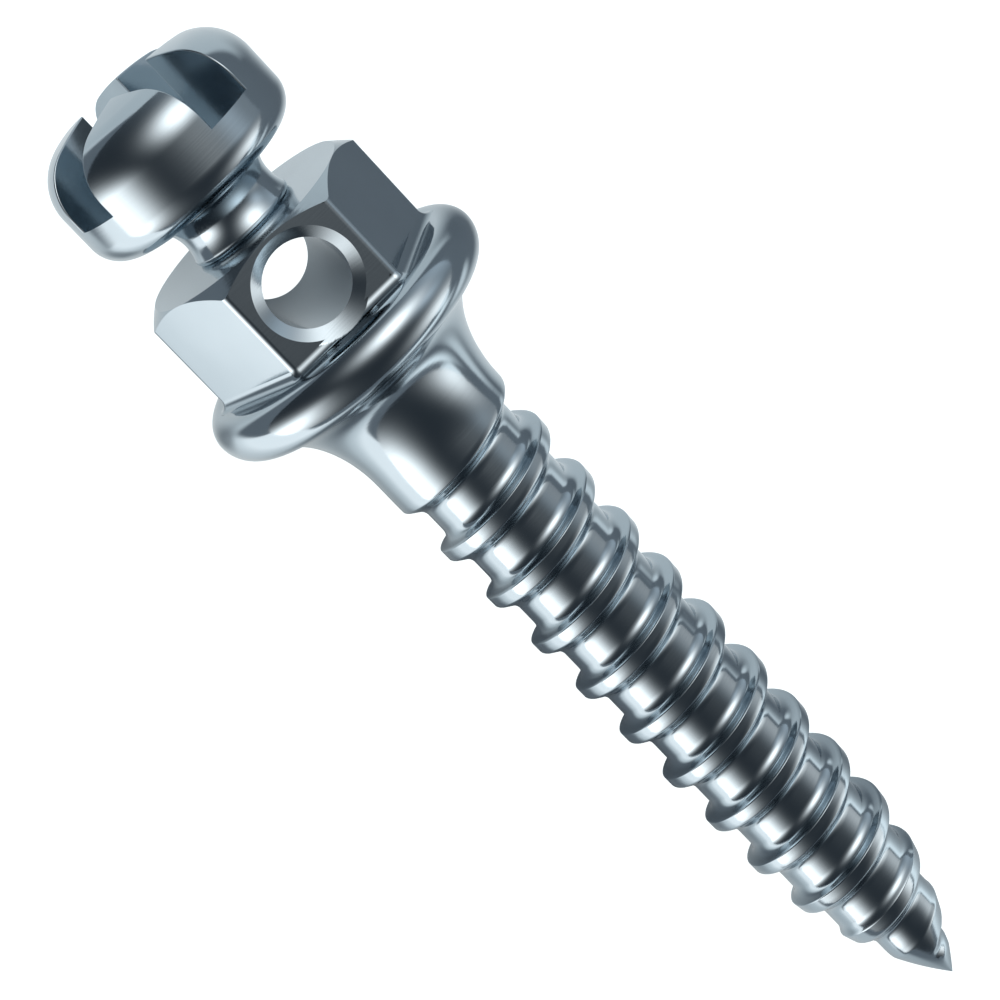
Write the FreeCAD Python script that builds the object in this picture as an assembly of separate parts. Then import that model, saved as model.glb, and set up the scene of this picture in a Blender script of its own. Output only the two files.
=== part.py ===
import FreeCAD, Part
import math
import os

from FreeCAD import Vector

# Orthodontic mini screw, turned and milled from one bar of titanium alloy.
#
# The screw is drawn on its own axis, with the point at z = 0 and the head up, and is then laid
# down: it rests on the rim of its flange and on the thread, with the point towards +X.
# From the point up it has a self-drilling thread, a flared collar that passes through the gum,
# a flange, a hexagon for the driver with a cross hole for a ligature wire, a waisted neck and
# a button head with two crossed wire slots. Lengths are in millimetres, angles in degrees.

# Thread
thread_length = 8.03
thread_pitch = 0.68
thread_diameter = 1.61
thread_depth = 0.16
thread_taper = 0.0095
crest_width = 0.15
lower_flank_angle = 36.0
upper_flank_angle = 16.0
lower_root_fillet = 0.13
thread_start_turn = 5.0
full_depth_turn = 100.0
run_in_turn = 120.0
run_out_turn = 150.0

# Point
nose_length = 2.50
root_nose_length = 2.18
thread_end_height = 0.42

# Collar
collar_land = 0.21
flare_height = 1.04

# Flange
flange_ledge = 0.021
rim_lower_radius = 0.33
rim_upper_radius = 0.24

# Hexagon
hex_across_flats = 2.30
hex_height = 1.16
hex_edge_radius = 0.09
hex_root_fillet = 0.05
hex_chamfer_angle = 40.0
cross_hole_diameter = 0.85
countersink_diameter = 1.05
countersink_depth = 0.07

# Neck
neck_length = 0.475
neck_diameter = 1.07
neck_waist_radius = 0.40
neck_bead_radius = 0.06
neck_bead_tuck = 55.0

# Head
head_diameter = 2.38
head_wall = 0.375
crown_radius = 3.40
crown_edge_radius = 0.517
underside_edge_radius = 0.32
underside_slope = 8.0
slot_width = 0.56
slot_depth = 0.75
slot_turn = 30.0

# How the screw lies: the hexagon's front flat is this far from straight up
front_flat_turn = 3.0

# Shares of the flare's own height and width that its curve's handles take
FLARE_FOOT_RISE = 0.46
FLARE_LIP_DROP = 0.14
FLARE_LIP_WIDTH = 0.60

# The thread tool's path, and how far each tool runs past what it cuts
POINTS_PER_TURN = 12
TOOL_LIFT = 0.08
OVERRUN = 0.5

thread_radius = thread_diameter / 2
neck_radius = neck_diameter / 2
head_radius = head_diameter / 2
hex_apothem = hex_across_flats / 2
hex_corner_radius = (hex_apothem - hex_edge_radius) / math.cos(math.pi / 6) + hex_edge_radius
flange_flat_radius = hex_corner_radius + hex_root_fillet + flange_ledge
flange_radius = flange_flat_radius + rim_upper_radius

collar_bottom = thread_length
flare_bottom = collar_bottom + collar_land
flange_bottom = flare_bottom + flare_height
flange_widest = flange_bottom + rim_lower_radius
flange_top = flange_widest + rim_upper_radius
hex_top = flange_top + hex_height
head_bottom = hex_top + neck_length

ORIGIN = Vector(0, 0, 0)
AXIS = Vector(0, 0, 1)


def at(radius, height):
    """A point of a turned profile."""
    return Vector(radius, 0, height)


def around(radius, angle, height=0.0):
    """A point at an angle about the screw's axis, counterclockwise seen from the head."""
    turn = math.radians(angle)
    return Vector(radius * math.cos(turn), radius * math.sin(turn), height)


def line(start, end):
    return Part.LineSegment(start, end).toShape()


def arc(centre, radius, start, end):
    """A profile's arc between two directions, counted from straight out towards the head."""
    def point(angle):
        turn = math.radians(angle)
        return centre + at(radius * math.cos(turn), radius * math.sin(turn))
    return Part.Arc(point(start), point((start + end) / 2), point(end)).toShape()


def round_ends(before, corner, after, radius):
    """Where the arc that rounds a corner between two straight runs starts and ends."""
    back = (before - corner).normalize()
    on = (after - corner).normalize()
    reach = radius / math.tan(back.getAngle(on) / 2)
    return corner + back * reach, corner + on * reach


def round_middle(before, corner, after, radius):
    """The middle of that arc."""
    back = (before - corner).normalize()
    on = (after - corner).normalize()
    to_centre = radius / math.sin(back.getAngle(on) / 2)
    return corner + (back + on).normalize() * (to_centre - radius)


def turned(edges):
    """The solid that a closed profile sweeps about the screw's axis."""
    return Part.Face(Part.Wire(edges)).revolve(ORIGIN, AXIS, 360)


def crest_radius(height):
    """The radius of the tapered shank over the thread's crests."""
    return thread_radius - thread_taper * (thread_length - height)


def nose_sweep(length, base_radius):
    """The radius of the arc that leaves the shank without a corner and ends in a point."""
    return (base_radius ** 2 + length ** 2) / (2 * base_radius)


def nose_radius(height, length, base_radius):
    """The radius of such a nose at a height above its point."""
    sweep = nose_sweep(length, base_radius)
    return math.sqrt(sweep ** 2 - (length - height) ** 2) - (sweep - base_radius)


def root_radius(height):
    """The radius at the bottom of the thread's groove, on the shank and in the nose."""
    if height >= root_nose_length:
        return crest_radius(height) - thread_depth
    base_radius = crest_radius(root_nose_length) - thread_depth
    return nose_radius(height, root_nose_length, base_radius)


def shank_and_flange():
    """The nose, the tapered shank, the flared collar and the flange, before threading."""
    base = at(crest_radius(nose_length), nose_length)
    belly = at(nose_radius(nose_length / 2, nose_length, base.x), nose_length / 2)
    shank_top = at(thread_radius, collar_bottom)
    foot = at(thread_radius, flare_bottom)
    lip = at(flange_radius - rim_lower_radius, flange_bottom)
    flare = Part.BezierCurve()
    flare.setPoles([
        foot,
        foot + at(0, FLARE_FOOT_RISE * flare_height),
        lip - at(FLARE_LIP_WIDTH * (lip.x - foot.x), FLARE_LIP_DROP * flare_height),
        lip,
    ])
    return turned([
        Part.Arc(ORIGIN, belly, base).toShape(),
        line(base, shank_top),
        line(shank_top, foot),
        flare.toShape(),
        arc(at(lip.x, flange_widest), rim_lower_radius, -90, 0),
        arc(at(flange_flat_radius, flange_widest), rim_upper_radius, 0, 90),
        line(at(flange_flat_radius, flange_top), at(0, flange_top)),
        line(at(0, flange_top), ORIGIN),
    ])


def hexagon():
    """The driver's hexagon: rounded upright edges, and a turned chamfer round its top."""
    sharp_radius = hex_apothem / math.cos(math.pi / 6)
    corners = [around(sharp_radius, front_flat_turn + 60 * side - 30) for side in range(6)]
    edges = []
    for side in range(6):
        legs = corners[side - 1], corners[side], corners[(side + 1) % 6]
        start, end = round_ends(*legs, hex_edge_radius)
        if edges:
            edges.append(line(edges[-1].lastVertex().Point, start))
        edges.append(Part.Arc(start, round_middle(*legs, hex_edge_radius), end).toShape())
    edges.append(line(edges[-1].lastVertex().Point, edges[0].firstVertex().Point))
    prism = Part.Face(Part.Wire(edges)).extrude(AXIS * hex_height)
    prism.translate(AXIS * flange_top)

    reach = sharp_radius + OVERRUN
    fall = (reach - hex_apothem) * math.tan(math.radians(hex_chamfer_angle))
    chamfered = turned([
        line(at(0, flange_top), at(reach, flange_top)),
        line(at(reach, flange_top), at(reach, hex_top - fall)),
        line(at(reach, hex_top - fall), at(hex_apothem, hex_top)),
        line(at(hex_apothem, hex_top), at(0, hex_top)),
        line(at(0, hex_top), at(0, flange_top)),
    ])
    return prism.common(chamfered)


def with_root_fillet(body):
    """Rounds the inner corner where the hexagon stands on the flange."""
    def is_root(edge):
        box = edge.BoundBox
        middle = edge.valueAt((edge.FirstParameter + edge.LastParameter) / 2)
        from_axis = math.hypot(middle.x, middle.y)
        flat = abs(box.ZMin - flange_top) < 0.001 and abs(box.ZMax - flange_top) < 0.001
        return flat and from_axis < hex_corner_radius + hex_root_fillet / 2
    return body.makeFillet(hex_root_fillet, [edge for edge in body.Edges if is_root(edge)])


def cross_hole():
    """The ligature hole, drilled from flat to flat and countersunk at both ends. Beyond the
    flats the tool is straight, so that it passes clear of the flange and the head."""
    hole_radius = cross_hole_diameter / 2
    sink_radius = countersink_diameter / 2
    outer = hex_apothem + OVERRUN
    inner = hex_apothem - countersink_depth
    profile = Part.makePolygon([
        Vector(-outer, 0, 0),
        Vector(-outer, sink_radius, 0),
        Vector(-hex_apothem, sink_radius, 0),
        Vector(-inner, hole_radius, 0),
        Vector(inner, hole_radius, 0),
        Vector(hex_apothem, sink_radius, 0),
        Vector(outer, sink_radius, 0),
        Vector(outer, 0, 0),
        Vector(-outer, 0, 0),
    ])
    hole = Part.Face(profile).revolve(ORIGIN, Vector(1, 0, 0), 360)
    hole.translate(AXIS * (flange_top + hex_top) / 2)
    hole.rotate(ORIGIN, AXIS, front_flat_turn)
    return hole


def neck_foot(waist_centre):
    """The bead at the neck's foot: its lowest radius, its edge, and where the waist begins."""
    tuck = math.radians(neck_bead_tuck)
    height = hex_top + neck_bead_radius * math.sin(tuck)
    apart = neck_waist_radius + neck_bead_radius
    lean = math.asin((waist_centre.z - height) / apart)
    centre = at(waist_centre.x - apart * math.cos(lean), height)
    foot_x = centre.x + neck_bead_radius * math.cos(tuck)
    turn = math.degrees(lean)
    return foot_x, arc(centre, neck_bead_radius, -neck_bead_tuck, turn), 180 + turn


def neck_and_head():
    """The waisted neck, and the button head with its slightly coned underside."""
    waist_half_angle = math.asin(neck_length / 2 / neck_waist_radius)
    waist_centre = at(neck_radius + neck_waist_radius, hex_top + neck_length / 2)
    neck_end = waist_centre.x - neck_waist_radius * math.cos(waist_half_angle)
    waist_end = 180 - math.degrees(waist_half_angle)
    foot_x, bead, waist_start = neck_foot(waist_centre)

    slope = math.radians(underside_slope)
    edge_x = head_radius - underside_edge_radius
    underside_x = edge_x + underside_edge_radius * math.sin(slope)
    underside_height = head_bottom + (underside_x - neck_end) * math.tan(slope)
    wall_bottom = underside_height + underside_edge_radius * math.cos(slope)
    wall_top = wall_bottom + head_wall

    crown_x = head_radius - crown_edge_radius
    crown_drop = math.sqrt((crown_radius - crown_edge_radius) ** 2 - crown_x ** 2)
    crown_centre = at(0, wall_top - crown_drop)
    crown_edge_turn = math.degrees(math.atan2(crown_drop, crown_x))
    crown_top = crown_centre.z + crown_radius

    head = turned([
        line(at(0, hex_top), at(foot_x, hex_top)),
        bead,
        arc(waist_centre, neck_waist_radius, waist_start, waist_end),
        line(at(neck_end, head_bottom), at(underside_x, underside_height)),
        arc(at(edge_x, wall_bottom), underside_edge_radius, underside_slope - 90, 0),
        line(at(head_radius, wall_bottom), at(head_radius, wall_top)),
        arc(at(crown_x, wall_top), crown_edge_radius, 0, crown_edge_turn),
        arc(crown_centre, crown_radius, crown_edge_turn, 90),
        line(at(0, crown_top), at(0, hex_top)),
    ])
    return head.cut(wire_slots(crown_top))


def wire_slots(crown_top):
    """Two crossed slots, milled right across the head."""
    length = head_diameter + 2 * OVERRUN
    slots = []
    for turn in (slot_turn, slot_turn + 90):
        slot = Part.makeBox(length, slot_width, slot_depth + OVERRUN)
        slot.translate(Vector(-length / 2, -slot_width / 2, crown_top - slot_depth))
        slot.rotate(ORIGIN, AXIS, front_flat_turn + turn)
        slots.append(slot)
    return slots[0].fuse(slots[1])


def groove_section(start, angle):
    """The outline that the thread tool cuts, hung from the upper edge of the groove. Its lower
    flank belongs to the crest above the groove, its upper flank to the crest below."""
    width = thread_pitch - crest_width
    lower = math.tan(math.radians(lower_flank_angle))
    upper = math.tan(math.radians(upper_flank_angle))
    top = thread_depth + TOOL_LIFT

    def corner(out, down):
        return start + around(out, angle) - AXIS * down

    top_start = corner(top, -TOOL_LIFT * lower)
    lower_root = corner(0, thread_depth * lower)
    upper_root = corner(0, width - thread_depth * upper)
    top_end = corner(top, width + TOOL_LIFT * upper)
    round_start, round_end = round_ends(top_start, lower_root, upper_root, lower_root_fillet)
    middle = round_middle(top_start, lower_root, upper_root, lower_root_fillet)
    return Part.Wire([
        line(top_start, round_start),
        Part.Arc(round_start, middle, round_end).toShape(),
        line(round_end, upper_root),
        line(upper_root, top_end),
        line(top_end, top_start),
    ])


def thread_groove():
    """The thread's groove: a tool outline led along a right-hand helix that dives in from
    outside the collar, follows the tapered shank, closes in on the point and lifts out."""
    start = -(full_depth_turn + run_in_turn - thread_start_turn) / 360
    full_depth = -(full_depth_turn - thread_start_turn) / 360
    end = (collar_bottom - thread_end_height) / thread_pitch
    lift_off = end - run_out_turn / 360
    centre_drop = (thread_pitch - crest_width) / 2

    def lift(share):
        return (thread_depth + TOOL_LIFT) * (1 - math.cos(math.pi / 2 * share))

    def point(turn):
        height = collar_bottom - thread_pitch * turn
        radius = root_radius(height - centre_drop)
        if turn < full_depth:
            radius += lift((full_depth - turn) / (full_depth - start))
        if turn > lift_off:
            radius += lift((turn - lift_off) / (end - lift_off))
        return around(radius, thread_start_turn - 360 * turn, height)

    steps = math.ceil((end - start) * POINTS_PER_TURN)
    path = Part.BSplineCurve()
    path.interpolate([point(start + (end - start) * n / steps) for n in range(steps + 1)])
    sweep = Part.BRepOffsetAPI.MakePipeShell(Part.Wire([path.toShape()]))
    sweep.setBiNormalMode(AXIS)
    sweep.setMaxSegments(3 * steps)
    sweep.add(groove_section(point(start), thread_start_turn - 360 * start), False, False)
    sweep.build()
    sweep.makeSolid()
    return sweep.shape()


def lying_angle():
    """How far the axis tips down towards the point when the screw lies on its flange and
    thread: the slope of the line that touches the rim's lower round and the nose."""
    base_radius = crest_radius(nose_length)
    sweep = nose_sweep(nose_length, base_radius)
    rim_centre = at(flange_radius - rim_lower_radius, flange_widest)
    nose_centre = at(base_radius - sweep, nose_length)
    between = rim_centre - nose_centre
    closing = math.acos((sweep - rim_lower_radius) / between.Length)
    return math.degrees(closing - math.atan2(between.z, between.x))


def laid_down(screw):
    """The screw on its side on z = 0, point towards +X, its box centred over the origin."""
    screw.rotate(ORIGIN, Vector(0, 1, 0), lying_angle() - 90)
    box = screw.optimalBoundingBox(False, False)
    screw.translate(-Vector(box.Center.x, box.Center.y, box.ZMin))
    return screw


def mini_screw():
    threaded = shank_and_flange().cut(thread_groove())
    body = threaded.fuse([hexagon(), neck_and_head()]).removeSplitter()
    return laid_down(with_root_fillet(body).cut(cross_hole()))


os.makedirs("parts", exist_ok=True)
mini_screw().exportStep("parts/mini_screw.step")
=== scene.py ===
import math

import bpy
import numpy as np
from mathutils import Matrix, Vector

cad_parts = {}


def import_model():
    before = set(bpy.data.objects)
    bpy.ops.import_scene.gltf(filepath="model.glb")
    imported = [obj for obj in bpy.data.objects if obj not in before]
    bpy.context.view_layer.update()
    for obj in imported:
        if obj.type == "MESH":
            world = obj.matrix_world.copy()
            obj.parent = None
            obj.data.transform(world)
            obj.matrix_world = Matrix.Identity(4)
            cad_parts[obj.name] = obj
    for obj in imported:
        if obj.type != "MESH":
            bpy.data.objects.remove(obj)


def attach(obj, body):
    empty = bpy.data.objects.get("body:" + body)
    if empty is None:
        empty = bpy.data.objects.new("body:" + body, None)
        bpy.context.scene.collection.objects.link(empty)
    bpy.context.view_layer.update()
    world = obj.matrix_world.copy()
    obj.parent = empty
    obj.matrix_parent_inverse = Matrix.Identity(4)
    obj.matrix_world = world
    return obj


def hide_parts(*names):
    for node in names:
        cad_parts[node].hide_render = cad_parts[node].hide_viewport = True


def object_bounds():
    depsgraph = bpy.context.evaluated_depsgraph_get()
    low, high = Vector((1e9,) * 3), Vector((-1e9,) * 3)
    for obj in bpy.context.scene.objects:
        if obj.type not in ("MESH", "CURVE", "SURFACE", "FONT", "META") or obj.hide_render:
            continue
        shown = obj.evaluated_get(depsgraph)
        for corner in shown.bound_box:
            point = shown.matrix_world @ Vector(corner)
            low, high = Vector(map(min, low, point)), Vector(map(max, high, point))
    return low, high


# Looks of the orthodontic mini screw: a dense, smooth skin of the same form as the CAD solid,
# polished titanium with fine turning marks, and a white studio table seen from above, whose
# reflection in the metal is painted, with patches of painted light and painted shade.
#
# The skin is drawn on the screw's own axis in millimetres, point at z = 0 and head up, with the
# front of the hexagon near +X, and is then laid down in metres as the CAD part lies.

# Sizes of the screw, as in the CAD part: millimetres and degrees
THREAD_LENGTH = 8.03
PITCH = 0.68
THREAD_RADIUS = 0.805
THREAD_DEPTH = 0.16
THREAD_TAPER = 0.0095
CREST_WIDTH = 0.15
LOWER_FLANK = 36.0
UPPER_FLANK = 16.0
LOWER_ROOT_FILLET = 0.13
UPPER_ROOT_FILLET = 0.12
THREAD_START_TURN = 5.0
FULL_DEPTH_TURN = 100.0
RUN_IN_TURN = 120.0
RUN_OUT_TURN = 150.0
THREAD_END_HEIGHT = 0.42
TOOL_LIFT = 0.08

NOSE_LENGTH = 2.50
ROOT_NOSE_LENGTH = 2.18
COLLAR_LAND = 0.21
FLARE_HEIGHT = 1.04
FLARE_FOOT_RISE = 0.46
FLARE_LIP_DROP = 0.14
FLARE_LIP_WIDTH = 0.60

FLANGE_FLAT = 1.385
RIM_LOWER_RADIUS = 0.33
RIM_UPPER_RADIUS = 0.24

HEX_APOTHEM = 1.15
HEX_HEIGHT = 1.16
HEX_EDGE_RADIUS = 0.09
HEX_ROOT_FILLET = 0.10
HEX_CHAMFER = 40.0
HOLE_RADIUS = 0.425
SINK_RADIUS = 0.54
SINK_DEPTH = 0.07
FRONT_TURN = 3.0

NECK_LENGTH = 0.475
NECK_RADIUS = 0.535
WAIST_RADIUS = 0.40
NECK_BEAD = 0.06
NECK_BEAD_TUCK = 55.0

HEAD_RADIUS = 1.19
HEAD_WALL = 0.375
CROWN_RADIUS = 3.40
CROWN_EDGE = 0.517
UNDERSIDE_EDGE = 0.32
UNDERSIDE_SLOPE = 8.0
SLOT_WIDTH = 0.56
SLOT_DEPTH = 0.75
SLOT_TURN = 30.0

# How far the real screw's sharp edges are broken
CREST_BREAK = 0.035
SLOT_BREAK = 0.014

# Fineness of the skin
COLUMNS = 160
ROWS_PER_PITCH = 26
SECTION_SAMPLES = 2001
BEND_WEIGHT = 1.6
FLARE_SAMPLES = 400
FLARE_ROWS = 26
RIM_ROWS = 18
FLAT_STEPS = 61
CORNER_STEPS = 10
FILLET_ROWS = 13
FLAT_SIDE_STEPS = 20
HOLE_ANGLES = np.linspace(0, 360, 145)
BEAD_ROWS = 16
WAIST_ROWS = 22
UNDERSIDE_ROWS = 22
WALL_ROWS = 12
CROWN_EDGE_ROWS = 30
CROWN_ROWS = 60
PETAL_STEPS = 37
SLOT_STEPS = 14
SLOT_CORNER_STEPS = 7
BREAK_ROWS = 6

# Where hidden edges lie: shares of the radius of the form that covers them, and how far up the
# flare the shank's piece is joined to the rest
UNDER_HEXAGON = 0.8
UNDER_NECK = 0.8
UNDER_HEAD = 0.9
JOIN_RISE = 0.35

# Points beyond this share of the hexagon's apothem lie at a flat
NEAR_FLAT = 0.95

# The metal: its colours, how rough it is, and its turning marks, whose depth is in metres
TITANIUM_DARK = (0.385, 0.452, 0.500)
TITANIUM_PALE = (0.455, 0.528, 0.577)
CLOUD_SCALE = 1.1
ROUGH_LEAST = 0.07
ROUGH_SPREAD = 0.10
SMEAR_SCALE = 5.0
MARK_STRETCH = (0.7, 0.7, 55.0)
MARK_DEPTH = 0.0000012
MARK_STRENGTH = 0.25
GRAIN_SCALE = 60.0
GRAIN_SHARE = 0.25

# The table's card, its half width in metres and its colours: the card's own colour, then the
# colours of its lift and painted reflection, with painted warm light towards the window.
# CARD_LIFT lifts what the camera sees of it to white.
CARD_HALF = 2.0
CARD_COLOR = (0.34, 0.39, 0.44)
CARD_LIFT = 1.05
CARD_TINT = (0.96, 1.0, 0.99)
# painted light: the card's lift and reflection turn warmer towards the window, as if lit by it
CARD_PAINTED_WINDOW_WARMTH = (1.0, 0.975, 0.94)

# Painted reflection: how bright the metal sees the card beyond the light on it. The card is
# brighter in the metal under the screw, towards the window and at the far end, as painted light,
# and darker at the corners by the head and the point, as painted shade. Distances are in mm
# from the part's middle, each pair from where a part of the card starts to fade in to where it is
# full. A slant is how many mm of y one mm of x counts for.
UNDER_SCREW_PAINTED_LIGHT = 0.60
UNDER_SLANT = 0.45
UNDER_EDGE = (3.6, 1.2)
NEAR_WINDOW_PAINTED_LIGHT = 0.85
FAR_END_PAINTED_LIGHT = 1.3
FAR_END_SLANTS = (-0.6, -1.5)
FAR_END_LOW = (1.0, 8.0)
FAR_END_HIGH = (-1.0, -8.0)
WINDOW_EDGE = (-2.0, -7.0)
HEAD_CORNER_X = (-4.2, -5.4)
HEAD_CORNER_Y = (-3.0, -4.6)
POINT_CORNER_X = (7.5, 10.0)
POINT_CORNER_SLANT = 1.0
POINT_CORNER_LOW = (-0.5, 2.5)
POINT_CORNER_HIGH = (2.0, 0.5)

# Painted highlights and painted shade in the card's reflection: spots that are brighter or
# darker in the metal only; level, middle and reach in x and y
SPOT_EDGE = (1.3, 0.3)
PAINTED_REFLECTION_SPOTS = (
    (1.30, (9.5, 5.5), (5.5, 6.0)),
    (0.85, (0.8, 4.6), (1.5, 2.3)),
    (-0.62, (-4.0, 3.7), (2.8, 1.9)),
    (-0.50, (0.0, -0.5), (5.5, 0.9)),
    (-0.25, (-4.0, -0.1), (0.9, 0.7)),
    (-0.50, (-3.9, -3.1), (1.2, 1.1)),
    (-0.60, (1.8, -1.9), (3.4, 1.3)),
)

# The room and its soft lights: radiance, direction round from +X and up from level, half width
ROOM = (0.037, 0.045, 0.054)
COOL = (0.82, 0.92, 1.0)
WARM = (1.0, 0.96, 0.92)
LIGHTS = (
    ("window", 3.15, -69, 6, 20, WARM),
    ("window_top", 0.55, -74, 31, 13, WARM),
    ("top", 2.90, 132, 57, 20, WARM),
    ("back", 0.50, 83, 32, 13, COOL),
    ("far_end", 1.85, 43, 3, 16, WARM),
    ("far_side", 0.70, 119, -10, 34, COOL),
)

# Places that follow from the sizes
FLANGE_RADIUS = FLANGE_FLAT + RIM_UPPER_RADIUS
FLARE_BOTTOM = THREAD_LENGTH + COLLAR_LAND
FLANGE_BOTTOM = FLARE_BOTTOM + FLARE_HEIGHT
FLANGE_WIDEST = FLANGE_BOTTOM + RIM_LOWER_RADIUS
FLANGE_TOP = FLANGE_WIDEST + RIM_UPPER_RADIUS
HEX_TOP = FLANGE_TOP + HEX_HEIGHT
HEAD_BOTTOM = HEX_TOP + NECK_LENGTH
FLAT_BOTTOM = FLANGE_TOP + HEX_ROOT_FILLET
HOLE_HEIGHT = (FLANGE_TOP + HEX_TOP) / 2
FLANGE_TOP_REACH = HOLE_HEIGHT - FLANGE_TOP


# Turned forms

def nose_sweep(length, base_radius):
    """The radius of the arc from the shank to the point."""
    return (base_radius ** 2 + length ** 2) / (2 * base_radius)


def nose_radius(height, length, base_radius):
    sweep = nose_sweep(length, base_radius)
    below = np.clip(length - height, 0, length)
    return np.sqrt(sweep ** 2 - below ** 2) - (sweep - base_radius)


def crest_radius(height):
    return THREAD_RADIUS - THREAD_TAPER * (THREAD_LENGTH - np.minimum(height, THREAD_LENGTH))


def root_radius(height):
    """The radius at the bottom of the groove, on the shank and in the nose."""
    base = crest_radius(ROOT_NOSE_LENGTH) - THREAD_DEPTH
    nose = nose_radius(height, ROOT_NOSE_LENGTH, base)
    return np.where(height >= ROOT_NOSE_LENGTH, crest_radius(height) - THREAD_DEPTH, nose)


def arc(centre, radius, start, end, count):
    """Points of a profile's arc between two directions, with their outward normals."""
    turn = np.radians(np.linspace(start, end, count))
    out = np.stack([np.cos(turn), np.sin(turn)], axis=1)
    return np.array(centre) + radius * out, out


def run(points):
    """A profile's smooth run of points, with normals to the right of the way it goes."""
    points = np.array(points, dtype=float)
    along = np.gradient(points, axis=0)
    out = np.stack([along[:, 1], -along[:, 0]], axis=1)
    return points, out / np.linalg.norm(out, axis=1, keepdims=True)


def flare_profile(count):
    """The collar's flare, from the land up to the flange's lower lip."""
    foot = np.array([THREAD_RADIUS, FLARE_BOTTOM])
    lip = np.array([FLANGE_RADIUS - RIM_LOWER_RADIUS, FLANGE_BOTTOM])
    poles = [
        foot,
        foot + [0, FLARE_FOOT_RISE * FLARE_HEIGHT],
        lip - [FLARE_LIP_WIDTH * (lip[0] - foot[0]), FLARE_LIP_DROP * FLARE_HEIGHT],
        lip,
    ]
    t = np.linspace(0, 1, count)[:, None]
    return (
        (1 - t) ** 3 * poles[0]
        + 3 * (1 - t) ** 2 * t * poles[1]
        + 3 * (1 - t) * t ** 2 * poles[2]
        + t ** 3 * poles[3]
    )


FLARE = flare_profile(FLARE_SAMPLES)


def blank_radius(height):
    """The radius of the nose, shank, land and flare before threading."""
    nose = nose_radius(height, NOSE_LENGTH, crest_radius(NOSE_LENGTH))
    shank = np.where(height < NOSE_LENGTH, nose, crest_radius(height))
    return np.where(height > FLARE_BOTTOM, np.interp(height, FLARE[:, 1], FLARE[:, 0]), shank)


# The thread

def flank(before_root, angle, fillet):
    """A flank's height above the root, by the distance to its sharp root corner."""
    slope = math.tan(math.radians(angle))
    turn = math.radians(90 - angle)
    foot = fillet * math.tan(turn / 2)
    from_foot = np.clip(before_root + foot, 0, fillet * math.sin(turn))
    rounded = fillet - np.sqrt(fillet ** 2 - from_foot ** 2)
    straight = before_root / slope
    return np.where(before_root + foot > fillet * math.sin(turn), straight, rounded)


def section_height(down):
    """The groove's height above its root, by the distance down from its upper edge."""
    lower = THREAD_DEPTH * math.tan(math.radians(LOWER_FLANK))
    upper = THREAD_DEPTH * math.tan(math.radians(UPPER_FLANK))
    return (
        flank(lower - down, LOWER_FLANK, LOWER_ROOT_FILLET)
        + flank(down - (PITCH - CREST_WIDTH - upper), UPPER_FLANK, UPPER_ROOT_FILLET)
    )


def softly_lower(a, b, size):
    """The lower of two heights, with the corner between them rounded."""
    near = np.maximum(size - np.abs(a - b), 0) / size
    return np.minimum(a, b) - near ** 2 * size / 4


def surface_radius(angle, height):
    """The threaded surface's radius at an angle in degrees and a height."""
    base_turn = (THREAD_START_TURN - angle) / 360
    passed = (THREAD_LENGTH - height) / PITCH - base_turn
    whole = np.floor(passed + CREST_WIDTH / (2 * PITCH))
    turn = base_turn + whole
    down = (passed - whole) * PITCH

    full_depth = -(FULL_DEPTH_TURN - THREAD_START_TURN) / 360
    start = full_depth - RUN_IN_TURN / 360
    end = (THREAD_LENGTH - THREAD_END_HEIGHT) / PITCH
    lift_off = end - RUN_OUT_TURN / 360
    diving = np.clip((full_depth - turn) / (full_depth - start), 0, 1)
    lifting = np.clip((turn - lift_off) / (end - lift_off), 0, 1)
    lift = (THREAD_DEPTH + TOOL_LIFT) * (2 - np.cos(np.pi / 2 * diving) - np.cos(np.pi / 2 * lifting))
    centre = THREAD_LENGTH - PITCH * turn - (PITCH - CREST_WIDTH) / 2
    groove = root_radius(centre) + lift + section_height(down)
    blank = blank_radius(height)
    cut = softly_lower(blank, groove, CREST_BREAK)
    return np.where((turn > start) & (turn < end), cut, blank)


def row_drops():
    """Distances down from the groove's upper edge for one pitch of rows, closer together where
    the section bends."""
    down = np.linspace(-CREST_WIDTH / 2, PITCH - CREST_WIDTH / 2, SECTION_SAMPLES)
    height = softly_lower(np.full_like(down, THREAD_DEPTH), section_height(down), CREST_BREAK)
    step = np.hypot(np.diff(down), np.diff(height))
    lean = np.arctan2(np.diff(height), np.diff(down))
    bend = np.abs(np.diff(lean, prepend=lean[0]))
    weight = step / step.sum() + BEND_WEIGHT * bend / bend.sum()
    share = np.concatenate([[0], np.cumsum(weight)]) / weight.sum()
    return np.interp(np.arange(ROWS_PER_PITCH) / ROWS_PER_PITCH, share, down)


# Skin building

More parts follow.
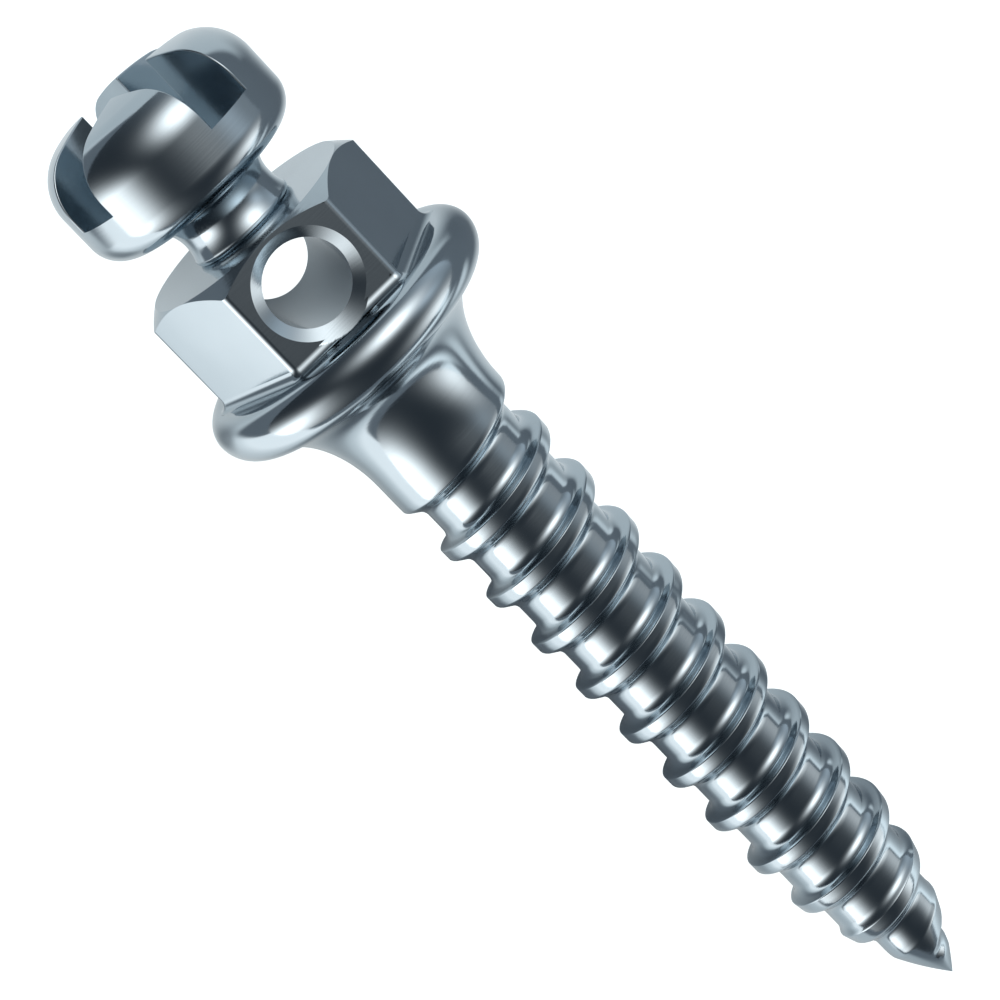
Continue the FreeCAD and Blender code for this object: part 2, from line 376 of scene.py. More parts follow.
class Skin:
    """Collects grids of points with their normals, and makes them one mesh object."""

    def __init__(self):
        self.points = []
        self.normals = []
        self.faces = []
        self.count = 0

    def add(self, points, normals):
        """Adds a set of points and says where it starts."""
        start = self.count
        self.points.append(np.asarray(points, dtype=float).reshape(-1, 3))
        self.normals.append(np.asarray(normals, dtype=float).reshape(-1, 3))
        self.count += len(self.points[-1])
        return start

    def grid(self, points, normals):
        """Adds a grid of points. Its faces look the way the normals point."""
        rows, columns = points.shape[:2]
        start = self.add(points, normals)
        index = start + np.arange(rows * columns).reshape(rows, columns)
        quads = np.stack([index[:-1, :-1], index[:-1, 1:], index[1:, 1:], index[1:, :-1]], axis=2)
        corners = points.reshape(-1, 3)[quads.reshape(-1, 4) - start]
        facing = np.cross(corners[:, 2] - corners[:, 0], corners[:, 3] - corners[:, 1])
        mean = normals.reshape(-1, 3)[quads.reshape(-1, 4) - start].mean(axis=1)
        if np.sum(facing * mean) < 0:
            quads = quads[:, :, ::-1]
        self.faces.extend(self.clean(quads.reshape(-1, 4)))

    def clean(self, quads):
        """Leaves out faces with no area, and makes those with one short side triangles."""
        points = np.concatenate(self.points)
        corners = points[quads]
        same = np.linalg.norm(corners - np.roll(corners, -1, axis=1), axis=2) < 1e-6
        for quad, pinched in zip(quads.tolist(), same):
            kept = [v for v, gone in zip(quad, pinched) if not gone]
            if len(kept) > 2:
                yield kept

    def polygon(self, points, normal):
        start = self.add(points, np.tile(normal, (len(points), 1)))
        self.faces.append(list(range(start, start + len(points))))

    def make(self, name, lie, material):
        """Makes the object, laid down as the CAD part lies, in metres."""
        turn = np.array(lie.to_3x3())
        points = (np.concatenate(self.points) @ turn.T + np.array(lie.translation)) / 1000
        normals = np.concatenate(self.normals) @ turn.T
        mesh = bpy.data.meshes.new(name)
        mesh.from_pydata(points.tolist(), [], self.faces)
        mesh.polygons.foreach_set("use_smooth", [True] * len(mesh.polygons))
        mesh.normals_split_custom_set_from_vertices(normals.tolist())
        mesh.materials.append(material)
        made = bpy.data.objects.new(name, mesh)
        bpy.context.collection.objects.link(made)
        return made


def around(angle):
    """The direction in plan at an angle in degrees."""
    turn = np.radians(angle)
    return np.stack([np.cos(turn), np.sin(turn)], axis=-1)


def turned(profile, normals, angles):
    """A profile turned about the axis, as a grid of points and one of normals, with one row for
    each point. The angles are the same for all rows, or given row by row."""
    angles = np.broadcast_to(angles, (len(profile), np.shape(angles)[-1]))
    ring = around(angles)

    def swept(values):
        upright = np.broadcast_to(values[:, None, 1:], (*angles.shape, 1))
        return np.concatenate([values[:, None, :1] * ring, upright], axis=2)
    return swept(profile), swept(normals)


# Pieces of the skin

def threaded_shank(skin, top):
    """The nose and thread up to a height in the flare, with rows that follow the crests."""
    angles = np.linspace(0, 360, COLUMNS + 1)
    turns = np.arange(-1, math.ceil(THREAD_LENGTH / PITCH) + 2)
    drops = (turns[:, None] * PITCH + row_drops()[None, :]).ravel()
    first_edge = THREAD_LENGTH - PITCH * (THREAD_START_TURN - angles) / 360
    heights = np.clip(first_edge[None, :] - drops[:, None], 0, top)
    angles = np.broadcast_to(angles, heights.shape)
    radius = surface_radius(angles, heights)

    side = 0.02
    rise = 0.0005
    across = surface_radius(angles + side, heights) - surface_radius(angles - side, heights)
    along = surface_radius(angles, heights + rise) - surface_radius(angles, heights - rise)
    across = across / (2 * math.radians(side) * np.maximum(radius, 0.001))
    along = along / (2 * rise)
    out = around(angles)
    sideways = around(angles + 90)
    plan = out - across[..., None] * sideways
    normals = np.concatenate([plan, -along[..., None]], axis=2)
    normals /= np.linalg.norm(normals, axis=2, keepdims=True)
    points = np.concatenate([radius[..., None] * out, heights[..., None]], axis=2)
    skin.grid(points, normals)


def collar_and_flange(skin, bottom):
    """The rest of the flare, the flange's rounded rim and its flat top."""
    angles = np.linspace(0, 360, COLUMNS + 1)
    upper = np.linspace(bottom, FLANGE_BOTTOM, FLARE_ROWS)
    flare = np.stack([np.interp(upper, FLARE[:, 1], FLARE[:, 0]), upper], axis=1)
    skin.grid(*turned(*run(flare), angles))
    lip = [FLANGE_RADIUS - RIM_LOWER_RADIUS, FLANGE_WIDEST]
    rim_lower = arc(lip, RIM_LOWER_RADIUS, -90, 0, RIM_ROWS)
    rim_upper = arc([FLANGE_FLAT, FLANGE_WIDEST], RIM_UPPER_RADIUS, 0, 90, RIM_ROWS)
    flat = run([[FLANGE_FLAT, FLANGE_TOP], [HEX_APOTHEM * UNDER_HEXAGON, FLANGE_TOP]])
    for profile, normals in (rim_lower, rim_upper, flat):
        skin.grid(*turned(profile, normals, angles))


def hex_outline():
    """Points and normals round the hexagon in plan, flat by flat: each flat's own points, then
    those of the rounded corner after it."""
    sharp = HEX_APOTHEM * math.tan(math.pi / 6)
    half = sharp - HEX_EDGE_RADIUS * math.tan(math.pi / 6)
    points = []
    normals = []
    for side in range(6):
        turn = FRONT_TURN + 60 * side
        out = around(turn)
        along = around(turn + 90)
        for step in np.linspace(-half, half, FLAT_STEPS):
            points.append(HEX_APOTHEM * out + step * along)
            normals.append(out)
        centre = (HEX_APOTHEM - HEX_EDGE_RADIUS) * out + half * along
        for bend in np.linspace(0, 60, CORNER_STEPS + 1)[1:-1]:
            points.append(centre + HEX_EDGE_RADIUS * around(turn + bend))
            normals.append(around(turn + bend))
    return np.array(points + points[:1]), np.array(normals + normals[:1])


def hexagon(skin):
    """The driver's hexagon with its root fillet, chamfer and cross hole."""
    plan, out = hex_outline()
    hex_root(skin, plan, out)
    zeros = np.zeros((len(plan), 1))
    reach = np.linalg.norm(plan, axis=1, keepdims=True)
    side_top = HEX_TOP - (reach - HEX_APOTHEM) * math.tan(math.radians(HEX_CHAMFER))
    sides = np.stack([
        np.concatenate([plan, zeros + FLAT_BOTTOM], axis=1),
        np.concatenate([plan, side_top], axis=1),
    ])
    hex_sides(skin, sides, np.concatenate([out, zeros], axis=1))
    cross_hole(skin)

    ring = plan / reach
    rim = np.concatenate([HEX_APOTHEM * ring, zeros + HEX_TOP], axis=1)
    lean = math.radians(HEX_CHAMFER)
    chamfer_out = np.concatenate([math.sin(lean) * ring, zeros + math.cos(lean)], axis=1)
    skin.grid(np.stack([sides[1], rim]), np.stack([chamfer_out] * 2))
    inner = np.concatenate([UNDER_NECK * NECK_RADIUS * ring, zeros + HEX_TOP], axis=1)
    up = np.broadcast_to([0.0, 0.0, 1.0], rim.shape)
    skin.grid(np.stack([rim, inner]), np.stack([up] * 2))


def hex_root(skin, plan, out):
    """The fillet between the hexagon's sides and the flange."""
    zeros = np.zeros((len(plan), 1))
    bend = np.radians(np.linspace(0, 90, FILLET_ROWS))[:, None, None]
    fillet_plan = plan + HEX_ROOT_FILLET * (1 - np.sin(bend)) * out
    fillet_height = FLANGE_TOP + HEX_ROOT_FILLET * (1 - np.cos(bend)) + 0 * zeros
    fillet = np.concatenate([fillet_plan, fillet_height], axis=2)
    fillet_out = np.concatenate([np.sin(bend) * out, np.cos(bend) + 0 * zeros], axis=2)
    skin.grid(*countersunk(fillet, fillet_out))


def hex_sides(skin, sides, level_out):
    """The six flats with the rounded corners between them. Two flats have the cross hole."""
    per_side = FLAT_STEPS + CORNER_STEPS - 1
    for side in range(6):
        first = side * per_side
        flat = slice(first, first + FLAT_STEPS)
        corner = slice(first + FLAT_STEPS - 1, first + per_side + 1)
        skin.grid(sides[:, corner], np.stack([level_out[corner]] * 2))
        if side in (0, 3):
            holed_flat(skin, sides[:, flat], level_out[first])
        else:
            skin.grid(sides[:, flat], np.stack([level_out[flat]] * 2))


def sink_surface(points, way):
    """Points moved along the hole to the countersink's cone, with the cone's normals, and
    their distances from the hole's middle line."""
    axis = way * np.append(around(FRONT_TURN), 0.0)
    offset = points - np.array([0, 0, HOLE_HEIGHT])
    depth = offset @ axis
    across = offset - depth[..., None] * axis
    away = np.linalg.norm(across, axis=-1)
    slope = SINK_DEPTH / (SINK_RADIUS - HOLE_RADIUS)
    cone = HEX_APOTHEM + (away - SINK_RADIUS) * slope
    lean = math.atan(slope)
    out = math.cos(lean) * axis - math.sin(lean) * across / np.maximum(away, 0.01)[..., None]
    return points + (cone - depth)[..., None] * axis, out, away


def countersunk(points, normals):
    """The hexagon's root fillet, cut by the countersinks down to the flange."""
    points, normals = points.copy(), normals.copy()
    axis = np.append(around(FRONT_TURN), 0.0)
    for way in (1, -1):
        moved, out, away = sink_surface(points, way)
        near_flat = way * (points @ axis) > HEX_APOTHEM * NEAR_FLAT
        cut = near_flat & (away < FLANGE_TOP_REACH)
        points[cut], normals[cut] = moved[cut], out[cut]
    return points, normals


def sink_reach(turn):
    """How far the countersink's edge is from the hole's middle line on the flat, at angles
    from level: a circle, cut off where the root fillet starts."""
    down = np.maximum(-np.sin(turn), 1e-6)
    return np.minimum(SINK_RADIUS, (HOLE_HEIGHT - FLAT_BOTTOM) / down)


def holed_flat(skin, flat, normal):
    """A flat of the hexagon with the countersink's circle left open, as a ring of faces that
    runs from the circle to the flat's border."""
    along = np.cross([0, 0, 1], normal)
    centre = HEX_APOTHEM * normal + np.array([0, 0, HOLE_HEIGHT])
    left = np.linspace(flat[1, 0], flat[0, 0], FLAT_SIDE_STEPS)[1:-1]
    right = np.linspace(flat[0, -1], flat[1, -1], FLAT_SIDE_STEPS)[1:-1]
    border = np.concatenate([flat[0], right, flat[1, ::-1], left])
    border = np.concatenate([border, border[:1]])
    offset = border - centre
    turn = np.unwrap(np.arctan2(offset[:, 2], offset @ along))
    spread = np.radians(HOLE_ANGLES) + turn[0]
    outer = np.stack([np.interp(spread, turn, border[:, n]) for n in range(3)], axis=1)
    reach = sink_reach(spread)
    circle = centre + reach[:, None] * (
        np.cos(spread)[:, None] * along + np.sin(spread)[:, None] * np.array([0, 0, 1.0])
    )
    outer = np.where((reach < SINK_RADIUS)[:, None], circle, outer)
    skin.grid(np.stack([circle, outer]), np.tile(normal, (2, len(spread), 1)))


def cross_hole(skin):
    """The bore from flat to flat, with a countersink at each end."""
    axis = np.append(around(FRONT_TURN), 0.0)
    along = np.cross([0, 0, 1.0], axis)
    angles = np.radians(HOLE_ANGLES)
    ring = np.cos(angles)[:, None] * along + np.sin(angles)[:, None] * np.array([0, 0, 1.0])
    middle = np.array([0, 0, HOLE_HEIGHT])
    inner = HEX_APOTHEM - SINK_DEPTH
    bore = np.stack([
        middle - inner * axis + HOLE_RADIUS * ring,
        middle + inner * axis + HOLE_RADIUS * ring,
    ])
    skin.grid(bore, np.stack([-ring] * 2))
    for way in (1, -1):
        edge = middle + way * inner * axis + HOLE_RADIUS * ring
        rim = middle + way * HEX_APOTHEM * axis + sink_reach(angles)[:, None] * ring
        points, normals, _ = sink_surface(np.stack([edge, rim]), way)
        skin.grid(points, normals)


def neck(skin):
    """The waisted neck, with a small round bead at its foot. Gives the radius it ends with."""
    centre = [NECK_RADIUS + WAIST_RADIUS, HEX_TOP + NECK_LENGTH / 2]
    half = math.degrees(math.asin(NECK_LENGTH / 2 / WAIST_RADIUS))
    drop = NECK_LENGTH / 2 - NECK_BEAD * math.sin(math.radians(NECK_BEAD_TUCK))
    apart = WAIST_RADIUS + NECK_BEAD
    lean = math.asin(drop / apart)
    bead = [centre[0] - apart * math.cos(lean), centre[1] - drop]
    turn = math.degrees(lean)
    foot, outward = arc(bead, NECK_BEAD, -NECK_BEAD_TUCK, turn, BEAD_ROWS)
    waist, inward = arc(centre, WAIST_RADIUS, 180 + turn, 180 - half, WAIST_ROWS)
    profile = np.concatenate([foot, waist[1:]])
    normals = np.concatenate([outward, -inward[1:]])
    skin.grid(*turned(profile, normals, np.linspace(0, 360, COLUMNS + 1)))
    return waist[-1, 0]


def head_profile(neck_end):
    """The head's underside, side and crown as runs of points with normals, and its top."""
    slope = math.radians(UNDERSIDE_SLOPE)
    edge_x = HEAD_RADIUS - UNDERSIDE_EDGE
    under_x = edge_x + UNDERSIDE_EDGE * math.sin(slope)
    under_z = HEAD_BOTTOM + (under_x - neck_end) * math.tan(slope)
    wall_bottom = under_z + UNDERSIDE_EDGE * math.cos(slope)
    wall_top = wall_bottom + HEAD_WALL
    crown_x = HEAD_RADIUS - CROWN_EDGE
    drop = math.sqrt((CROWN_RADIUS - CROWN_EDGE) ** 2 - crown_x ** 2)
    crown_turn = math.degrees(math.atan2(drop, crown_x))
    crown_top = wall_top - drop + CROWN_RADIUS
    inner_x = UNDER_HEAD * neck_end
    inner_z = under_z - (under_x - inner_x) * math.tan(slope)
    parts = [
        run([[inner_x, inner_z], [under_x, under_z]]),
        arc([edge_x, wall_bottom], UNDERSIDE_EDGE, UNDERSIDE_SLOPE - 90, 0, UNDERSIDE_ROWS),
        run(np.linspace([HEAD_RADIUS, wall_bottom], [HEAD_RADIUS, wall_top], WALL_ROWS)),
        arc([crown_x, wall_top], CROWN_EDGE, 0, crown_turn, CROWN_EDGE_ROWS),
        arc([0, wall_top - drop], CROWN_RADIUS, crown_turn, 90, CROWN_ROWS),
    ]
    return parts, crown_top


def distances(points):
    """How far each point is along its profile."""
    return np.concatenate([[0], np.cumsum(np.linalg.norm(np.diff(points, axis=0), axis=1))])


def cut_profile(points, normals, start, end):
    """The part of a profile between two distances along it."""
    gone = distances(points)
    kept = (gone > start) & (gone < end)
    spots = np.concatenate([[start], gone[kept], [end]])

    def at(values):
        return np.stack([np.interp(spots, gone, values[:, n]) for n in range(2)], axis=1)
    return at(points), at(normals)


def joined(parts):
    """Runs of a profile as one, without the points that two of them share."""
    points = np.concatenate([p for p, _ in parts])
    normals = np.concatenate([n for _, n in parts])
    fresh = np.concatenate([[True], np.linalg.norm(np.diff(points, axis=0), axis=1) > 1e-6])
    return points[fresh], normals[fresh]


def head(skin, neck_end):
    """The button head: what is below the slots' floor, the four petals and the floor."""
    parts, crown_top = head_profile(neck_end)
    floor = crown_top - SLOT_DEPTH
    points, normals = joined(parts[1:])
    gone = distances(points)
    at_floor = np.interp(floor, points[:, 1], gone)
    inner = (SLOT_WIDTH / 2 + SLOT_BREAK) * math.sqrt(2)
    ball = points - SLOT_BREAK * normals
    at_corner = np.interp(-inner, -ball[:, 0], gone)
    low = cut_profile(points, normals, 0, at_floor)
    high = cut_profile(points, normals, at_floor, at_corner)

    petal_angles = petal_columns(high[0][:1], high[1][:1])[0]
    slot_angles = np.linspace(petal_angles[-1], 90 + petal_angles[0], SLOT_STEPS)
    quarter = np.concatenate([petal_angles, slot_angles[1:-1]])
    start = FRONT_TURN + SLOT_TURN
    turns = [start + 90 * n for n in range(4)]
    angles = np.concatenate([turn + quarter for turn in turns] + [[start + 360 + quarter[0]]])
    skin.grid(*turned(*parts[0], angles))
    skin.grid(*turned(*low, angles))
    for turn in turns:
        petal(skin, high, floor, turn)
    slot_floor(skin, low[0][-1, 0], floor, turns, slot_angles)


def slot_floor(skin, radius, floor, turns, slot_angles):
    """The flat floor of the two crossed slots, with a rounded inner corner at each petal."""
    outline = []
    for turn in turns:
        x_axis, y_axis = around(turn), around(turn + 90)
        bend = np.radians(np.linspace(270, 180, SLOT_CORNER_STEPS))[:, None]
        corner = (SLOT_WIDTH / 2 + SLOT_BREAK) * (x_axis + y_axis)
        corner = corner + SLOT_BREAK * (np.cos(bend) * x_axis + np.sin(bend) * y_axis)
        outline.append(np.concatenate([corner, radius * around(turn + slot_angles)]))
    plan = np.concatenate(outline)
    height = np.full((len(plan), 1), floor)
    skin.polygon(np.concatenate([plan, height], axis=1), [0, 0, 1.0])


def petal_columns(points, normals):
    """The angles of a petal's columns in each row, between its two slot walls."""
    ball = points[:, 0] - SLOT_BREAK * normals[:, 0]
    least = np.degrees(np.arcsin(np.clip((SLOT_WIDTH / 2 + SLOT_BREAK) / ball, 0, math.sqrt(0.5))))
    share = np.linspace(0, 1, PETAL_STEPS)[None, :]
    return least[:, None] + (90 - 2 * least[:, None]) * share


def petal(skin, profile, floor, turn):
    """A quarter of the head between the slots: its outside, the broken edges and the walls."""
    points, normals = profile
    columns = petal_columns(points, normals) + turn
    outside, out = turned(points, normals, columns)
    skin.grid(outside, out)

    ring = around(columns)
    ball = points - SLOT_BREAK * normals
    for column, way in ((0, around(turn - 90)), (-1, around(turn + 180))):
        centre = np.concatenate([ball[:, :1] * ring[:, column], ball[:, 1:]], axis=1)
        ways = np.tile(np.append(way, 0.0), (len(centre), 1))
        slot_wall(skin, centre, out[:, column], ways, floor)

    x_axis = np.append(around(turn), 0.0)
    y_axis = np.append(around(turn + 90), 0.0)
    bend = np.radians(np.linspace(180, 270, SLOT_CORNER_STEPS))[:, None]
    ways = np.cos(bend) * x_axis + np.sin(bend) * y_axis
    centre = np.array([*(ball[-1, 0] * ring[-1, 0]), ball[-1, 1]])
    slot_wall(skin, centre, out[-1, 0], ways, floor)


def slot_wall(skin, centre, edge_out, ways, floor):
    """The rounded edge from a petal's outside to a slot, and the slot's wall down to its floor.
    The wall looks in the given ways."""
    share = np.linspace(0, 1, BREAK_ROWS)[:, None, None]
    blend = (1 - share) * edge_out + share * ways
    blend /= np.linalg.norm(blend, axis=2, keepdims=True)
    skin.grid(centre + SLOT_BREAK * blend, blend)
    top = centre + SLOT_BREAK * ways
    foot = top.copy()
    foot[:, 2] = floor
    skin.grid(np.stack([top, foot]), np.stack([ways] * 2))


# How the screw lies

def lying_angle():
    """How far the axis tips down towards the point, from the line that touches the flange's
    lower round and the nose."""
    base = float(crest_radius(NOSE_LENGTH))
    sweep = nose_sweep(NOSE_LENGTH, base)
    between_x = FLANGE_RADIUS - RIM_LOWER_RADIUS - (base - sweep)
    between_z = FLANGE_WIDEST - NOSE_LENGTH
    closing = math.acos((sweep - RIM_LOWER_RADIUS) / math.hypot(between_x, between_z))
    return closing - math.atan2(between_z, between_x)


def lying_matrix(far_x):
    """From the screw's own axis to how it lies, in millimetres. The point is at the box's
    far end in x, and the flange's rim touches z = 0."""
    tip = abs(lying_angle())
    sine, cosine = math.sin(tip), math.cos(tip)
    rim_x = -(FLANGE_RADIUS - RIM_LOWER_RADIUS)
    rise = RIM_LOWER_RADIUS - (rim_x * cosine + FLANGE_WIDEST * sine)
    return Matrix((
        (sine, 0, -cosine, far_x),
        (0, 1, 0, 0),
        (cosine, 0, sine, rise),
        (0, 0, 0, 1),
    ))


# Materials

def value_node(tree, kind, **settings):
    """A node of a kind with some of its settings made."""
    made = tree.nodes.new(kind)
    for name, value in settings.items():
        setattr(made, name, value)
    return made


def math_node(tree, operation, first, second=0.0):
    """A sum of one or two sockets or numbers, by the name of the operation."""
    made = value_node(tree, "ShaderNodeMath", operation=operation)
    for socket, value in zip(made.inputs, (first, second)):
        if isinstance(value, (int, float)):
            socket.default_value = value
        else:
            tree.links.new(value, socket)
    return made.outputs[0]


def product(tree, *shares):
    """All the sockets or numbers multiplied."""
    whole = shares[0]
    for share in shares[1:]:
        whole = math_node(tree, "MULTIPLY", whole, share)
    return whole


def noise_node(tree, vector, scale, detail, roughness=0.5):
    made = tree.nodes.new("ShaderNodeTexNoise")
    made.inputs["Scale"].default_value = scale
    made.inputs["Detail"].default_value = detail
    made.inputs["Roughness"].default_value = roughness
    tree.links.new(vector, made.inputs["Vector"])
    return made.outputs["Fac"]


def blend_node(tree, share, first, second):
    """A colour between two fixed ones."""
    made = value_node(tree, "ShaderNodeMix", data_type="RGBA")
    tree.links.new(share, made.inputs["Factor"])
    made.inputs["A"].default_value = (*first, 1)
    made.inputs["B"].default_value = (*second, 1)
    return made.outputs["Result"]


def finish_group(lie):
    """The metal's finish in the screw's own millimetres: the colour drifts a little, tool marks
    run round the axis, and the polish is uneven. Gives a colour, a roughness and a height."""
    tree = bpy.data.node_groups.new("polished_titanium_finish", "ShaderNodeTree")
    kinds = {"Color": "NodeSocketColor", "Roughness": "NodeSocketFloat", "Height": "NodeSocketFloat"}
    for name, kind in kinds.items():
        tree.interface.new_socket(name, in_out="OUTPUT", socket_type=kind)
    back = lie.inverted()
    place = tree.nodes.new("ShaderNodeTexCoord")
    mapping = value_node(tree, "ShaderNodeMapping", vector_type="POINT")
    mapping.inputs["Scale"].default_value = (1000, 1000, 1000)
    mapping.inputs["Rotation"].default_value = back.to_euler()
    mapping.inputs["Location"].default_value = back.translation
    tree.links.new(place.outputs["Object"], mapping.inputs["Vector"])
    spot = mapping.outputs["Vector"]

    stretched = value_node(tree, "ShaderNodeVectorMath", operation="MULTIPLY")
    tree.links.new(spot, stretched.inputs[0])
    stretched.inputs[1].default_value = MARK_STRETCH
    marks = noise_node(tree, stretched.outputs[0], 1.0, 3, 0.6)
    cloud = noise_node(tree, spot, CLOUD_SCALE, 2)
    smear = noise_node(tree, spot, SMEAR_SCALE, 4)
    grain = noise_node(tree, spot, GRAIN_SCALE, 2)

    color = blend_node(tree, cloud, TITANIUM_DARK, TITANIUM_PALE)
    rough = math_node(tree, "MULTIPLY", smear, ROUGH_SPREAD)
    rough = math_node(tree, "ADD", rough, ROUGH_LEAST)
    height = math_node(tree, "MULTIPLY", grain, GRAIN_SHARE)
    height = math_node(tree, "ADD", height, marks)
    output = tree.nodes.new("NodeGroupOutput")
    for socket, name in ((color, "Color"), (rough, "Roughness"), (height, "Height")):
        tree.links.new(socket, output.inputs[name])
    return tree


def titanium(lie):
    """Polished titanium: a bluish grey mirror with fine turning marks round the axis."""
    material = bpy.data.materials.new("titanium")
    material.use_nodes = True
    tree = material.node_tree
    tree.nodes.clear()
    finish = tree.nodes.new("ShaderNodeGroup")
    finish.node_tree = finish_group(lie)
    bump = tree.nodes.new("ShaderNodeBump")
    bump.inputs["Strength"].default_value = MARK_STRENGTH
    bump.inputs["Distance"].default_value = MARK_DEPTH
    shader = tree.nodes.new("ShaderNodeBsdfPrincipled")
    shader.inputs["Metallic"].default_value = 1.0
    output = tree.nodes.new("ShaderNodeOutputMaterial")
    tree.links.new(finish.outputs["Color"], shader.inputs["Base Color"])
    tree.links.new(finish.outputs["Roughness"], shader.inputs["Roughness"])
    tree.links.new(finish.outputs["Height"], bump.inputs["Height"])
    tree.links.new(bump.outputs["Normal"], shader.inputs["Normal"])
    tree.links.new(shader.outputs["BSDF"], output.inputs["Surface"])
    return material


def fade(tree, value, start, end):
    """From 0 to 1, softly, while a value goes from start to end."""
    made = value_node(tree, "ShaderNodeMapRange", interpolation_type="SMOOTHSTEP")
    rising = end > start
    tree.links.new(value, made.inputs["Value"])
    made.inputs["From Min"].default_value = min(start, end)
    made.inputs["From Max"].default_value = max(start, end)
    made.inputs["To Min"].default_value = 0.0 if rising else 1.0
    made.inputs["To Max"].default_value = 1.0 if rising else 0.0
    return made.outputs["Result"]


def painted_spot_level(tree, x, y, strength, middle, reach):
    """A painted reflection spot's share of the card's level in the metal, fading out round its
    middle: painted light where its strength is above zero, painted shade where it is below.
    """
    squares = []
    for along, centre, size in zip((x, y), middle, reach):
        share = math_node(tree, "DIVIDE", math_node(tree, "SUBTRACT", along, centre), size)
        squares.append(math_node(tree, "MULTIPLY", share, share))
    away = math_node(tree, "SQRT", math_node(tree, "ADD", *squares))
    return product(tree, fade(tree, away, *SPOT_EDGE), strength)


def painted_card_reflection(tree):
    """The card's painted reflection: how bright the metal sees the card beyond the light on it, and
    in which colour. Painted light under the screw, towards the window and below the far end's
    light, painted shade at the corners by the head and the point, and dark elsewhere; the colour
    turns warmer towards the window."""
    place = tree.nodes.new("ShaderNodeTexCoord")
    spot = tree.nodes.new("ShaderNodeSeparateXYZ")
    tree.links.new(place.outputs["Object"], spot.inputs["Vector"])
    x = math_node(tree, "MULTIPLY", spot.outputs["X"], 1000.0)
    y = math_node(tree, "MULTIPLY", spot.outputs["Y"], 1000.0)

    def slanted(slope):
        return math_node(tree, "ADD", y, math_node(tree, "MULTIPLY", x, slope))

    # painted light in the reflection: the card under the screw, towards the window and at the far end
    under = product(tree, fade(tree, slanted(UNDER_SLANT), *UNDER_EDGE), UNDER_SCREW_PAINTED_LIGHT)
    near_window = fade(tree, y, *WINDOW_EDGE)
    window = product(tree, near_window, NEAR_WINDOW_PAINTED_LIGHT)
    low_slant, high_slant = FAR_END_SLANTS
    far_end = product(
        tree,
        fade(tree, slanted(low_slant), *FAR_END_LOW),
        fade(tree, slanted(high_slant), *FAR_END_HIGH),
        FAR_END_PAINTED_LIGHT,
    )
    # painted shade in the reflection: the corners by the head and the point
    head_corner_painted_shade = product(
        tree,
        fade(tree, x, *HEAD_CORNER_X),
        fade(tree, y, *HEAD_CORNER_Y),
    )
    point_corner_painted_shade = product(
        tree,
        fade(tree, x, *POINT_CORNER_X),
        fade(tree, slanted(POINT_CORNER_SLANT), *POINT_CORNER_LOW),
        fade(tree, y, *POINT_CORNER_HIGH),
    )
    dark = math_node(tree, "ADD", head_corner_painted_shade, point_corner_painted_shade)
    lit = math_node(tree, "ADD", under, window)
    level = product(tree, lit, math_node(tree, "SUBTRACT", 1.0, dark))
    level = math_node(tree, "ADD", level, far_end)
    # painted highlights and painted shade spots in the reflection
    for one in PAINTED_REFLECTION_SPOTS:
        level = math_node(tree, "ADD", level, painted_spot_level(tree, x, y, *one))
    # painted warm light: the colour turns warmer towards the window
    color = blend_node(tree, near_window, CARD_TINT, CARD_PAINTED_WINDOW_WARMTH)
    return math_node(tree, "MAXIMUM", level, 0.0), color


def card_with_painted_reflections():
    """The table's white card. What the camera sees of it is lifted to white, and the metal sees
    a painted reflection of it, with painted light and painted shade at levels of its own. The light
    that it sheds on other things is left as it is."""
    material = bpy.data.materials.new("card_with_painted_reflections")
    material.use_nodes = True
    tree = material.node_tree
    tree.nodes.clear()
    card = tree.nodes.new("ShaderNodeBsdfDiffuse")
    card.inputs["Color"].default_value = (*CARD_COLOR, 1)
    lift = tree.nodes.new("ShaderNodeEmission")
    ray = tree.nodes.new("ShaderNodeLightPath")
    seen = math_node(tree, "ADD", ray.outputs["Is Camera Ray"], ray.outputs["Is Transmission Ray"])
    seen = math_node(tree, "MULTIPLY", seen, CARD_LIFT)
    level, color = painted_card_reflection(tree)
    tree.links.new(color, lift.inputs["Color"])
    # painted reflection: only glossy rays see the card's pattern of painted light and shade
    painted_reflection_strength = math_node(tree, "MULTIPLY", ray.outputs["Is Glossy Ray"], level)
    tree.links.new(math_node(tree, "ADD", seen, painted_reflection_strength), lift.inputs["Strength"])
    both = tree.nodes.new("ShaderNodeAddShader")
    output = tree.nodes.new("ShaderNodeOutputMaterial")
    tree.links.new(card.outputs["BSDF"], both.inputs[0])
    tree.links.new(lift.outputs["Emission"], both.inputs[1])
    tree.links.new(both.outputs["Shader"], output.inputs["Surface"])
    return material


def table_top():
    mesh = bpy.data.meshes.new("table")
    half = CARD_HALF
    corners = [(-half, -half, 0), (half, -half, 0), (half, half, 0), (-half, half, 0)]
    mesh.from_pydata(corners, [], [(0, 1, 2, 3)])
    mesh.materials.append(card_with_painted_reflections())
    table = bpy.data.objects.new("table", mesh)
    bpy.context.collection.objects.link(table)


def soft_light(tree, way, radiance, round_up, up, half_width):
    """A round light in the room's walls that fades to half its strength at half_width degrees
    from its middle."""
    turn = math.radians(round_up)
    rise = math.radians(up)
    middle = (math.cos(rise) * math.cos(turn), math.cos(rise) * math.sin(turn), math.sin(rise))
    tightness = math.log(2) / (1 - math.cos(math.radians(half_width)))
    aim = value_node(tree, "ShaderNodeVectorMath", operation="DOT_PRODUCT")
    tree.links.new(way, aim.inputs[0])
    aim.inputs[1].default_value = middle
    short = math_node(tree, "SUBTRACT", aim.outputs["Value"], 1.0)
    fall = math_node(tree, "EXPONENT", math_node(tree, "MULTIPLY", short, tightness))
    return math_node(tree, "MULTIPLY", fall, radiance)


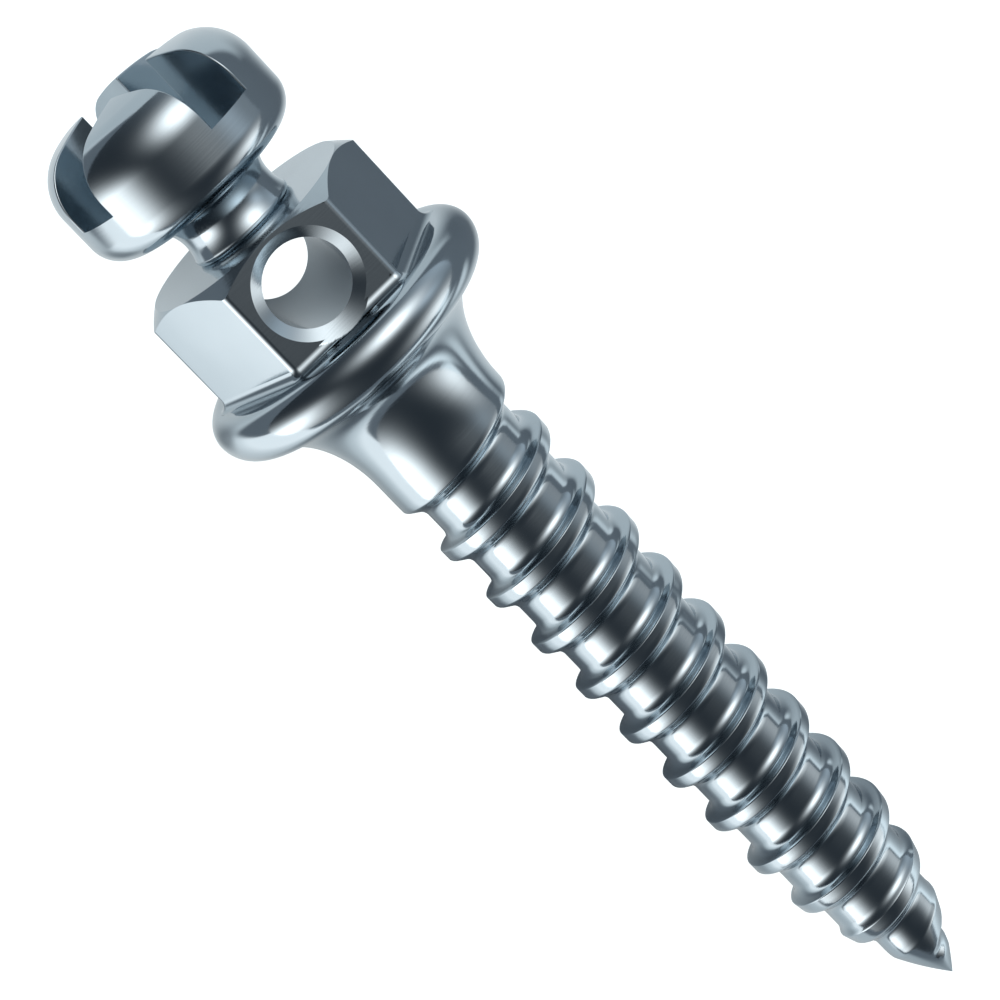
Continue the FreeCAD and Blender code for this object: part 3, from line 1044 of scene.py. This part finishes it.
def world():
    """A dim bluish room with soft lights."""
    made = bpy.data.worlds.new("studio")
    made.use_nodes = True
    tree = made.node_tree
    way = tree.nodes.new("ShaderNodeTexCoord").outputs["Generated"]
    total = None
    for _, radiance, round_up, up, half_width, color in LIGHTS:
        add = value_node(tree, "ShaderNodeVectorMath", operation="MULTIPLY_ADD")
        tree.links.new(soft_light(tree, way, radiance, round_up, up, half_width), add.inputs[0])
        add.inputs[1].default_value = color
        if total is None:
            add.inputs[2].default_value = ROOM
        else:
            tree.links.new(total, add.inputs[2])
        total = add.outputs["Vector"]
    tree.links.new(total, tree.nodes["Background"].inputs["Color"])
    bpy.context.scene.world = made


def camera(lie):
    """The photograph's view: close to the screw, the axis tipped towards the camera and the
    point at the lower right."""
    distance = 29.97
    axis_height = 7.275
    sideways = 0.034
    focal_pixels = 3045
    tip = math.radians(18.07)
    roll = math.radians(46.45)
    x_axis, y_axis, z_axis = (lie.to_3x3().col[n] for n in range(3))
    aim = lie @ Vector((0, 0, axis_height))
    back = x_axis * math.cos(tip) + z_axis * math.sin(tip)
    along = x_axis * math.sin(tip) - z_axis * math.cos(tip)
    right = along * math.cos(roll) + y_axis * math.sin(roll)
    up = y_axis * math.cos(roll) - along * math.sin(roll)
    place = (aim + back * distance - y_axis * sideways) / 1000
    data = bpy.data.cameras.new("camera")
    data.sensor_width = 36
    data.lens = data.sensor_width * focal_pixels / 1000
    data.clip_start = 0.001
    data.clip_end = 10
    made = bpy.data.objects.new("camera", data)
    made.matrix_world = Matrix((
        (right.x, up.x, back.x, place.x),
        (right.y, up.y, back.y, place.y),
        (right.z, up.z, back.z, place.z),
        (0, 0, 0, 1),
    ))
    bpy.context.collection.objects.link(made)
    bpy.context.scene.camera = made


def build_screw(lie):
    material = titanium(lie)
    join = FLARE_BOTTOM + JOIN_RISE
    shank = Skin()
    threaded_shank(shank, join)
    upper = Skin()
    collar_and_flange(upper, join)
    hexagon(upper)
    neck_end = neck(upper)
    head(upper, neck_end)
    for skin, name in ((shank, "threaded_shank"), (upper, "flange_hexagon_and_head")):
        piece = skin.make(name, lie, material)
        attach(piece, "root")
        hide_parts("mini_screw")


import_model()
low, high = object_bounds()
lie = lying_matrix(high.x * 1000)
build_screw(lie)
table_top()
camera(lie)
world()
bpy.context.scene.view_settings.view_transform = "Standard"
